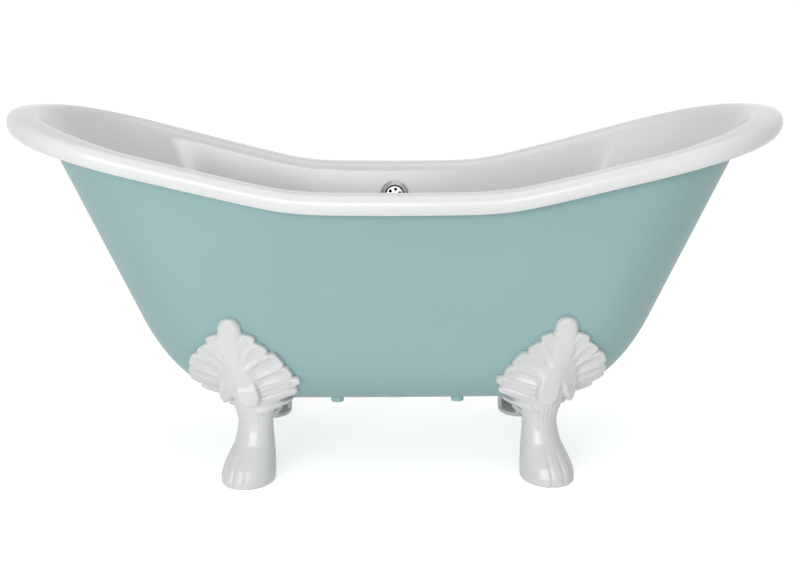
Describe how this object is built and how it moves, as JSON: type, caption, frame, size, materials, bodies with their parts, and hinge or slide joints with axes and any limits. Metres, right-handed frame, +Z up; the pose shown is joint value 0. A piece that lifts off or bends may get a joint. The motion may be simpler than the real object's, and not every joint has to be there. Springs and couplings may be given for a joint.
{
  "type": "cast iron bathtub",
  "caption": "Freestanding double slipper cast iron bathtub with a rolled rim, claw feet with leaf crowns, a wall overflow and a press plug in the floor waste.",
  "frame": {"origin": "on the floor, under the middle of the tub", "axes": "+X along the tub, +Y towards the overflow side, +Z up"},
  "size_m": [1.7008, 0.7314, 0.8068],
  "materials": {
    "tub_paint": "satin blue green paint over cast iron",
    "white_enamel": "gloss white vitreous enamel",
    "foot_white": "gloss white paint over cast iron",
    "plain_steel": "zinc plated",
    "chrome_plate": "polished",
    "brass_cast": "as cast",
    "black_rubber": "matt"
  },
  "bodies": {
    "tub": {"tub_casting": "tub_paint", "enamel_lining": "white_enamel", "foot_front_left": "foot_white", "foot_front_right": "foot_white", "foot_rear_left": "foot_white", "foot_rear_right": "foot_white", "foot_studs": "plain_steel", "foot_washers": "plain_steel", "foot_nuts": "plain_steel", "waste_flange": "chrome_plate", "waste_washer": "black_rubber", "banjo_washers": "black_rubber", "waste_banjo": "brass_cast", "waste_backnut": "brass_cast", "banjo_nut": "chrome_plate", "plug_guide": "brass_cast", "overflow_washer": "black_rubber", "overflow_bezel": "chrome_plate", "overflow_grid": "chrome_plate", "overflow_screw": "chrome_plate", "overflow_gasket": "black_rubber", "overflow_elbow": "chrome_plate", "elbow_nut": "chrome_plate", "overflow_pipe": "chrome_plate"},
    "plug": {"plug_cap": "chrome_plate", "plug_seal": "black_rubber", "plug_stem": "plain_steel"}
  },
  "joints": [
    {"name": "plug_press", "type": "slide", "parent": "tub", "child": "plug", "axis": [0, 0, 1], "range_m": [0, 0.01]}
  ]
}
